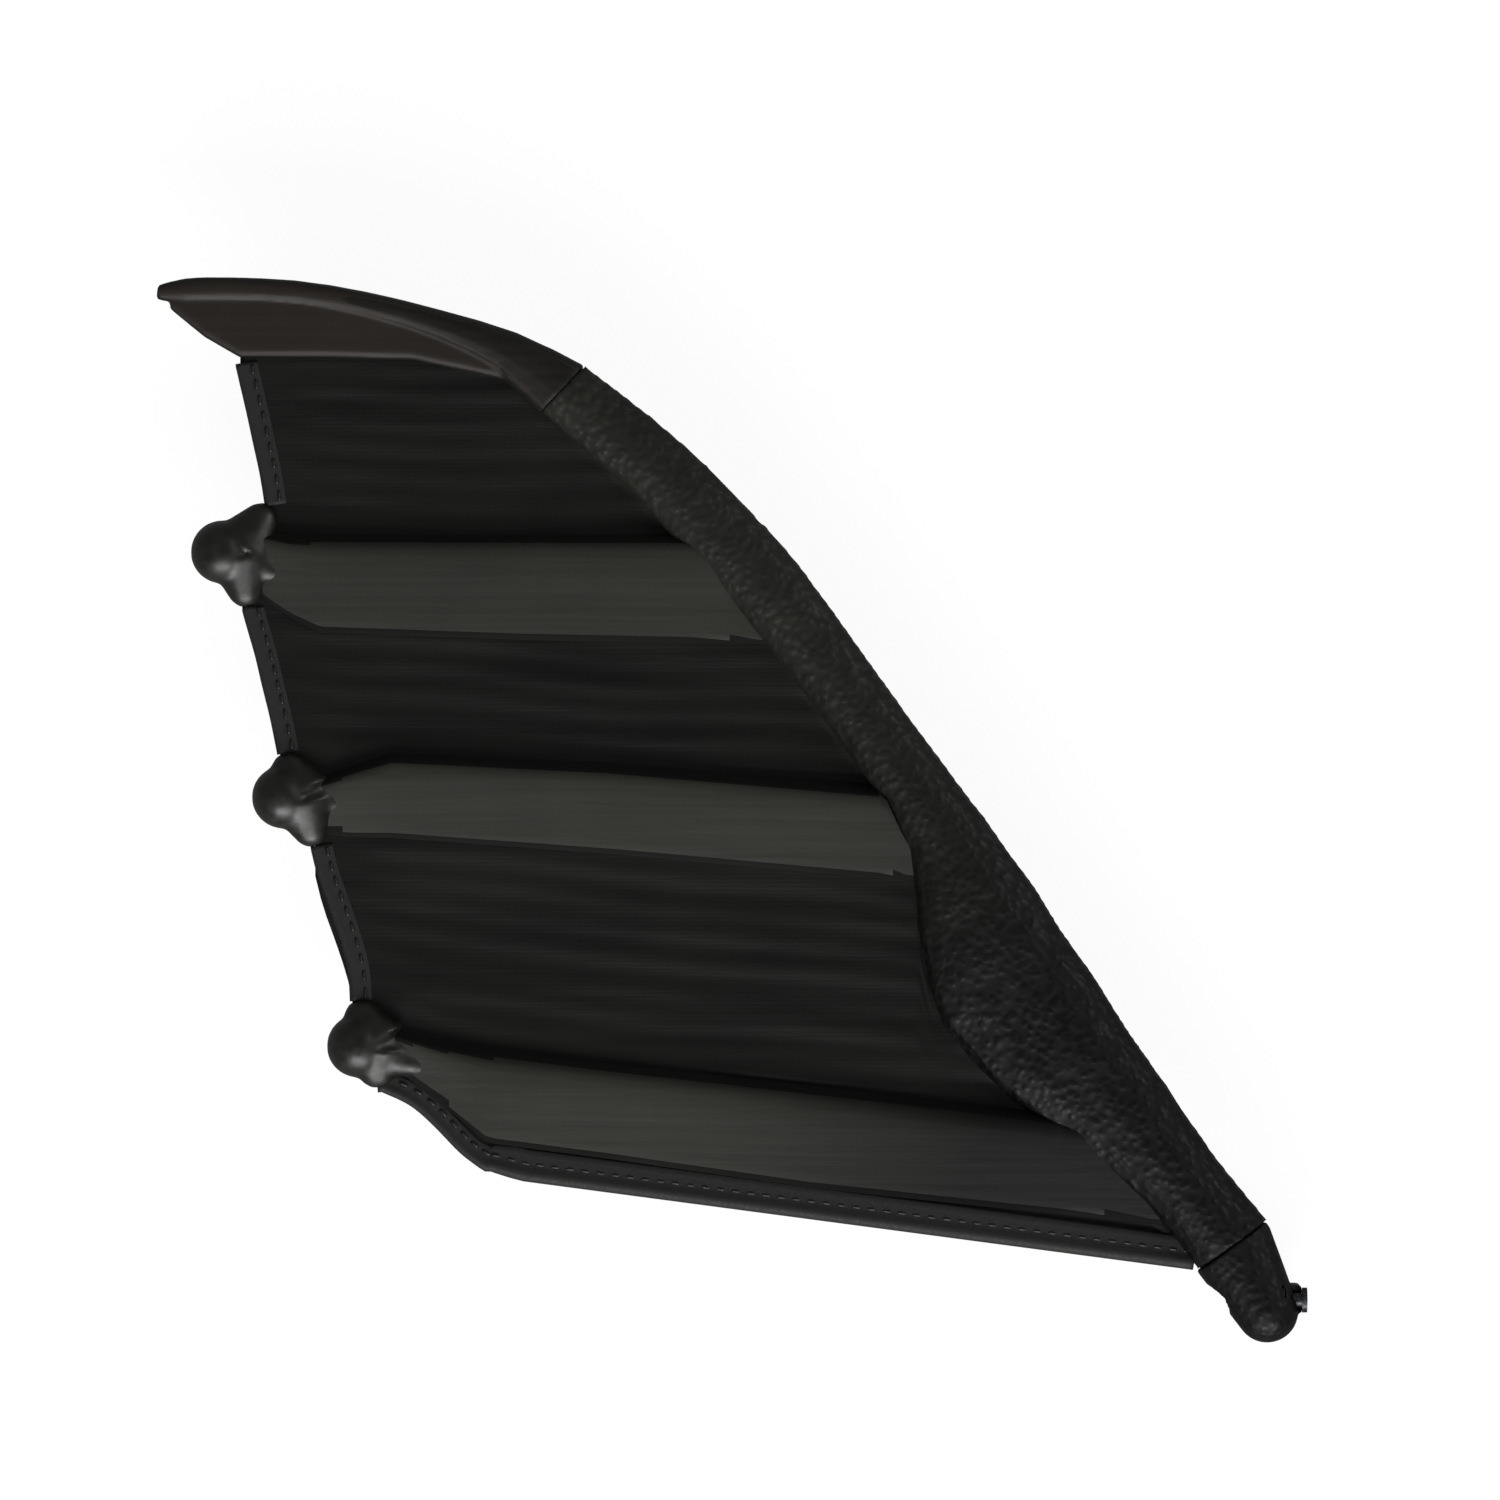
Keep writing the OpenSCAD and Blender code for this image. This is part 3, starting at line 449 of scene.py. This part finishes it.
digit = joined("tip_digit_skin", ("tip_digit", 0, 0), ("tip_digit", RUN_ON, -RUN_ON))
dressed(moulded(digit, 0.36, 7, plain_relief), "hand", "satin_nylon", DIGIT, "tip_digit")
# Up-facing shelf faces take the lighter colour, painted light.
digit.data.materials.append(LIT_SHELF_NYLON)
for face in digit.data.polygons:
    height = face.center.z / MM - PLANE
    if SHELF_LOW < height < SHELF_HIGH and face.normal.z > 0.75:
        face.material_index = 1


# ---- Fingers ----

# Half of a finger's section: (share of the way from tip side to root side, share of the height).
UPPER = [(0, 0.04), (0, 0.12), (0.02, 0.3), (0.05, 0.56), (0.085, 0.8), (0.125, 0.95), (0.17, 1), (0.24, 0.97),
         (0.4, 0.82), (0.55, 0.66), (0.7, 0.5), (0.85, 0.34), (0.94, 0.25), (0.985, 0.18), (1, 0.1), (1, 0.04)]
LOWER = [(0, 0.05), (0, 0.4), (0.03, 0.8), (0.1, 1), (0.25, 1.03), (0.45, 0.95), (0.7, 0.62), (0.9, 0.36),
         (0.98, 0.24), (1, 0.12), (1, 0.05)]
STRAIGHT = (0.6, 0.76)  # shares of a finger's length between which both its sides run straight
INTO_ARM = 7.0          # how far a finger's tip side runs on under the hide, mm
END_RUN = 3.0           # and how far the whole end does, mm
GROOVE_SHADE_MARGINS = (2.0, 1.4)     # the margins of a finger painted near-black as the shade of the grooves beside it, tip side and root side, mm
INTO_BULB = 2.0         # how far from the ball's centre its other end starts, mm
RINGS = 90


def bulb_ball(number):
    """The ball's centre in the wing plane, and its radius."""
    bulb = Cut(f"finger_{number}_bulb")
    return np.array([bulb.low[0] + bulb.high[2], (bulb.low[1] + bulb.high[1]) / 2]), bulb.high[2]


def finger_half(number, half, profile, sign, material):
    """One moulded half of a finger. Its sides are read from the CAD finger, and past the straight part they
    run on straight, so that the end goes in under the hide."""
    node = Cut(f"finger_{number}_{half}")
    start, end = node.low[0], node.high[0]
    near, far = (start + (end - start) * share for share in STRAIGHT)
    sides = [(node.at(0, near)[k][1], node.at(0, far)[k][1]) for k in (1, 0)]
    rings, margins = [], []
    for x in np.linspace(bulb_ball(number)[0][0] + INTO_BULB, end + END_RUN, RINGS):
        low, high = node.at(0, x)
        share = (x - near) / (far - near)
        tip, root = (high[1], low[1]) if x < far else (a + (b - a) * share for a, b in sides)
        cap = node.at(0, min(x, far))
        tall = cap[1][2] if sign > 0 else -cap[0][2]
        first = 0.0 if x < far else min(max((tip - high[1] - INTO_ARM) / (tip - root), 0), 0.95)
        shares = [first + (1 - first) * s for s, _ in profile]
        tops = np.interp(shares, *zip(*sorted(profile)))
        edge = [h if s == first or s == 1 else t for (_, h), s, t in zip(profile, shares, tops)]
        rings.append([(x, tip + (root - tip) * s, sign * tall * h) for s, h in zip(shares, edge)])
        margins.append((x, tip - GROOVE_SHADE_MARGINS[0], root + GROOVE_SHADE_MARGINS[1]))
    obj = piece(f"finger_{number}_{half}_skin", *loft(rings))
    worked(obj, ("BEVEL", {"width": 0.2 * MM, "segments": 2, "limit_method": "ANGLE",
                           "angle_limit": math.radians(50)}))
    dressed(obj, "arm", "satin_nylon", material, f"finger_{number}_{half}")
    # The margins get the near-black painted groove shade.
    obj.data.materials.append(GROOVE_SHADE_NYLON)
    at, tip_side, root_side = np.array(margins).T
    for face in obj.data.polygons:
        x, y, _ = face.center / MM
        face.material_index = int(y > np.interp(x, at, tip_side) or y < np.interp(x, at, root_side))


def tube(start, end, r0, r1, flat=1.0, sides=20, steps=8):
    """A straight tapered tube in the wing plane with rounded ends, flattened in height."""
    start, end = np.array(start, float), np.array(end, float)
    ahead = (end - start) / np.linalg.norm(end - start)
    rings = []
    for k in range(steps + 1):
        t = k / steps
        r = (r0 + (r1 - r0) * t) * (0.6 if k in (0, steps) else 1)
        x, y = start + (end - start) * t
        rings.append([(x - ahead[1] * r * math.cos(a), y + ahead[0] * r * math.cos(a), r * flat * math.sin(a))
                      for a in (2 * math.pi * n / sides for n in range(sides))])
    return loft(rings)


def ball(centre, radius, sides=36):
    rings = []
    for k in range(1, sides // 2):
        a = 2 * math.pi * k / sides
        across = radius * math.sin(a)
        rings.append([(centre[0] - radius * math.cos(a), centre[1] + across * math.cos(b), across * math.sin(b))
                      for b in (2 * math.pi * n / sides for n in range(sides))])
    return loft(rings)


BOOT_NECK = 15.0       # how far the rubber boot reaches along the finger, mm
LUG_START = 3.5        # how far in from the ball's centre the lugs to the hems start, mm


def finger_boot(number, hem_ends):
    """The soft bulb and its boot: a ball, a neck over the finger, and a lug over each hem's end."""
    centre, radius = bulb_ball(number)
    finger = Cut(f"finger_{number}_upper")
    axis_y = finger.middle(0, centre[0] + BOOT_NECK)[1]
    parts = [ball(centre, radius), tube(centre, (centre[0] + BOOT_NECK, axis_y), 7.0, 1.6, 0.85)]
    parts += [tube(centre + (LUG_START, 0), end, 7.6, 2.3, 0.8) for end in hem_ends]
    boot = moulded(piece(f"finger_{number}_boot", *together(parts)), 0.36, 30, plain_relief)
    dressed(boot, "arm", "bulb_rubber", RUBBER, f"finger_{number}_bulb", fold=FOLD_LINE if number == 1 else None)


for number in (1, 2, 3):
    # Tops in the lighter copy with painted light, undersides in the darker copy with painted shade.
    finger_half(number, "upper", UPPER, 1, FLANK_NYLON_WITH_PAINTED_LIGHT)
    finger_half(number, "lower", LOWER, -1, UNDER_FLANK_PAINTED_SHADE)


# ---- Web panels ----

WEB_THICK = 0.3
# A slanted strip fills less than LEAST_CUT of the box around it. Its flat size is then the box's diagonal, by
# the width of which it would fill STRIP_CUT.
LEAST_CUT, STRIP_CUT = 0.35, 0.8


def web(name, body, nodes, rise, lean, tucks=(-2.5, 3), columns=130, rows=64):
    """One panel of web. It hangs a little between its fingers, in pulled folds that fade where it is held.

    body is None where it folds from arm to hand. rise is how far it climbs to the next finger, lean is how
    much its folds turn from X, and tucks is how far its low and high sides run on inside the pieces that
    hold them, mm."""
    cloth = Cut(*nodes)
    verts, cut_area = [], 0.0
    stations, step = np.linspace(cloth.low[0] + 0.05, cloth.high[0] + END_RUN, columns + 1, retstep=True)
    rows_y = np.linspace(cloth.low[1], cloth.high[1], 120)
    edge_x = [cloth.at(1, y)[0][0] for y in rows_y]
    for x in stations:
        low, high = (corner[1] + tuck for corner, tuck in zip(cloth.at(0, x), tucks))
        cut_area += (high - low) * MM * step * MM
        for y in np.linspace(low, high, rows + 1):
            v = (high - y) / max(high - low, 0.1)
            in_hem = ramp(3, 16, x - np.interp(y, rows_y, edge_x))
            held = ramp(2, 6, high - y) * ramp(2, 6, y - low)
            across = y - lean * x
            folds = 0.1 * math.sin(across * 1.15 + 3 * noise.noise(Vector((x / 45, y / 60, rise))))
            pulls = 0.45 * noise.noise(Vector((x / 38, across / 6, 4 + rise)))
            belly = -0.55 * math.sin(math.pi * v)
            climb = rise * ramp(0.05, 0.92, v) * (1 - ramp(0.92, 1, v))
            verts.append((x, y, (climb + (folds + pulls + belly) * held) * in_hem))
    row = rows + 1
    faces = [(i * row + j, i * row + j + 1, (i + 1) * row + j + 1, (i + 1) * row + j)
             for i in range(columns) for j in range(rows)]
    obj = piece(f"web_{name}_cloth", verts, faces)
    worked(obj, ("SOLIDIFY", {"thickness": WEB_THICK * MM, "offset": 0}))
    size = ((cloth.high - cloth.low)[:2] + (END_RUN, tucks[1] - tucks[0])) * MM
    if cut_area < LEAST_CUT * size[0] * size[1]:
        long = math.hypot(*size)
        size = (long, cut_area / long / STRIP_CUT)
    dressed(obj, body, "coated_web", WEB, *nodes, fold=None if body else FOLD_LINE)


web("tip", None, ["web_tip", "web_hinge_strip"], 0.5, 0.0)
web("middle", "arm", ["web_middle"], 0.7, -0.06)
web("root", "arm", ["web_root"], 0.8, -0.1, tucks=(-6, 3))
web("edge", "arm", ["web_edge_strip"], 0.0, -0.13, tucks=(0, 3), rows=16)


# ---- Hems: a bound bead along each trailing edge, with a flange that holds the web, and its stitches ----

# The hem's section: (distance in from the edge, height), a round bead with a thin flange behind it.
HEM = [(-1, 0), (-0.87, 0.5), (-0.5, 0.87), (0, 1), (0.5, 0.88), (0.9, 0.62), (1.5, 0.5), (2.6, 0.46), (3.3, 0.4),
       (3.5, 0.2), (3.5, -0.2), (3.3, -0.4), (1.5, -0.5), (0.9, -0.62), (0.5, -0.88), (0, -1), (-0.5, -0.87),
       (-0.87, -0.5)]
STITCH_IN, STITCH_STEP, STITCH_LONG, STITCH_WIDE = 2.2, 3.0, 2.0, 0.32
ROD_COVER = 1.45       # how much wider the bead grows to cover the root edge rod


def inward(route):
    """The unit normal of a flat route, pointing to the side where the web is."""
    run = np.gradient(np.array(route)[:, :2], axis=0)
    side = np.stack([run[:, 1], -run[:, 0]], axis=1)
    side /= np.linalg.norm(side, axis=1)[:, None]
    middle = side[len(side) // 2]
    return side if middle[0] + middle[1] > 0 else -side


def hem(name, route, body, nodes, cover=None):
    """The bead and flange along route. cover is how much larger the section is at each point."""
    side = inward(route)
    rings = [[(p[0] + s[0] * d * c, p[1] + s[1] * d * c, h * c) for d, h in HEM]
             for p, s, c in zip(route, side, np.ones(len(route)) if cover is None else cover)]
    dressed(piece(f"hem_{name}_binding", *loft(rings)), body, "bound_hem", TAPE, *nodes)


def stitches(name, route, body):
    """Lock stitches: short waxed threads that lie on the flange, each pulled down at its ends."""
    length = float(np.linalg.norm(np.diff(route, axis=0), axis=1).sum())
    count = int(length / STITCH_STEP)
    line = spaced(route, count * 2 + 1)
    side = inward(line)
    threads = []
    for k in range(1, 2 * count, 2):
        ahead = line[k + 1] - line[k - 1]
        ahead /= np.linalg.norm(ahead)
        across = np.array([*side[k], 0])
        for face in (1, -1):
            rings = []
            for t in (-1, -0.8, -0.4, 0, 0.4, 0.8, 1):
                thick = STITCH_WIDE * (0.35 if abs(t) == 1 else 1)
                lift = np.array([0, 0, face * (0.46 + 0.14 * (1 - t * t))])
                place = line[k] + across * STITCH_IN + ahead * t * STITCH_LONG / 2 + lift
                rings.append([place + across * thick * math.cos(a) + (0, 0, thick * math.sin(a))
                              for a in (math.pi * n / 4 for n in range(8))])
            threads.append(loft(rings))
    dressed(piece(f"hem_{name}_stitches", *together(threads)), body, "bound_hem", THREAD)


def edge_line(node, axis, count=40):
    """The middle of a CAD hem or rod, read across x or y, from its low end to its high one, in the wing plane."""
    line = Cut(node)
    out = [line.middle(axis, value) for value in np.linspace(line.low[axis] + 0.4, line.high[axis] - 0.4, count)]
    return np.array([(x, y, 0.0) for x, y, _ in out])


edges = {name: edge_line(f"hem_{name}", 1) for name in ("tip", "middle", "root")}
corner, rod = edge_line("hem_corner", 0), edge_line("root_edge_rod", 0, 90)
edges["corner"] = spaced(np.concatenate([corner, rod[3:]]), 150)
rod_share = np.clip((edges["corner"][:, 0] - rod[0][0] + 6) / 8, 0, 1)
for name, line in edges.items():
    body = "hand" if name == "tip" else "arm"
    cover = 1 + (ROD_COVER - 1) * rod_share if name == "corner" else None
    hem(name, line, body, [f"hem_{name}"] + (["root_edge_rod"] if name == "corner" else []), cover)
    stitches(name, line, body)

finger_boot(1, [edges["tip"][0][:2], edges["middle"][-1][:2]])
finger_boot(2, [edges["middle"][0][:2], edges["root"][-1][:2]])
finger_boot(3, [edges["root"][0][:2], edges["corner"][0][:2]])


# ---- Camera, floor and light ----

VIEW = 300.0                      # width of the view in the wing plane, mm
CENTRE = (-104.0, 110.0)          # middle of the view, mm
AWAY = 2400.0                     # height of the camera above the wing plane, mm

camera = bpy.data.objects.new("camera", bpy.data.cameras.new("camera"))
camera.data.sensor_width = 36
camera.data.lens = 36 * AWAY / VIEW
camera.data.clip_end = 20
camera.location = (CENTRE[0] * MM, CENTRE[1] * MM, (PLANE + AWAY) * MM)
bpy.context.scene.collection.objects.link(camera)
bpy.context.scene.camera = camera

bpy.ops.mesh.primitive_plane_add(size=12, location=(CENTRE[0] * MM, CENTRE[1] * MM, 0))
floor = bpy.context.object
floor.name = "floor"
paper, tree = blank("white_paper_sweep")
glow = put(tree, "ShaderNodeEmission", {"Color": linear("#ffffff"), "Strength": 1.06})
matt = put(tree, "ShaderNodeBsdfDiffuse", {"Color": linear("#f4f4f2")})
both = put(tree, "ShaderNodeMixShader", {0: 0.88, 1: matt.outputs[0], 2: glow.outputs[0]})
put(tree, "ShaderNodeOutputMaterial", {"Surface": both.outputs[0]})
floor.data.materials.append(paper)
floor.visible_glossy = False

bpy.ops.mesh.primitive_uv_sphere_add(segments=48, ring_count=24, radius=7)
backdrop = bpy.context.object
backdrop.name = "backdrop"
paper_glow, tree = blank("lit_backdrop_paper")
shine = put(tree, "ShaderNodeEmission", {"Color": linear("#f7f7f6"), "Strength": 0.95})
put(tree, "ShaderNodeOutputMaterial", {"Surface": shine.outputs[0]})
backdrop.data.materials.append(paper_glow)
backdrop.visible_diffuse = backdrop.visible_glossy = backdrop.visible_shadow = False


def soft_box(name, place, aim, size, power):
    lamp = bpy.data.lights.new(name, "AREA")
    lamp.shape, lamp.size, lamp.size_y, lamp.energy = "RECTANGLE", size[0], size[1], power
    obj = bpy.data.objects.new(name, lamp)
    obj.location = place
    obj.rotation_euler = (Vector(aim) - Vector(place)).to_track_quat("-Z", "Y").to_euler()
    bpy.context.scene.collection.objects.link(obj)


soft_box("front_soft_box", (-0.1, -1.5, 1.0), (-0.1, 0.1, 0.02), (1.6, 0.9), 40)
soft_box("side_soft_box", (1.5, 0.9, 0.9), (-0.1, 0.1, 0.02), (0.9, 0.9), 8)
world = bpy.data.worlds.new("studio")
bpy.context.scene.world = world
world.use_nodes = True
world.node_tree.nodes["Background"].inputs["Color"].default_value = linear("#ffffff")
world.node_tree.nodes["Background"].inputs["Strength"].default_value = 0.22
bpy.context.scene.view_settings.view_transform = "Standard"
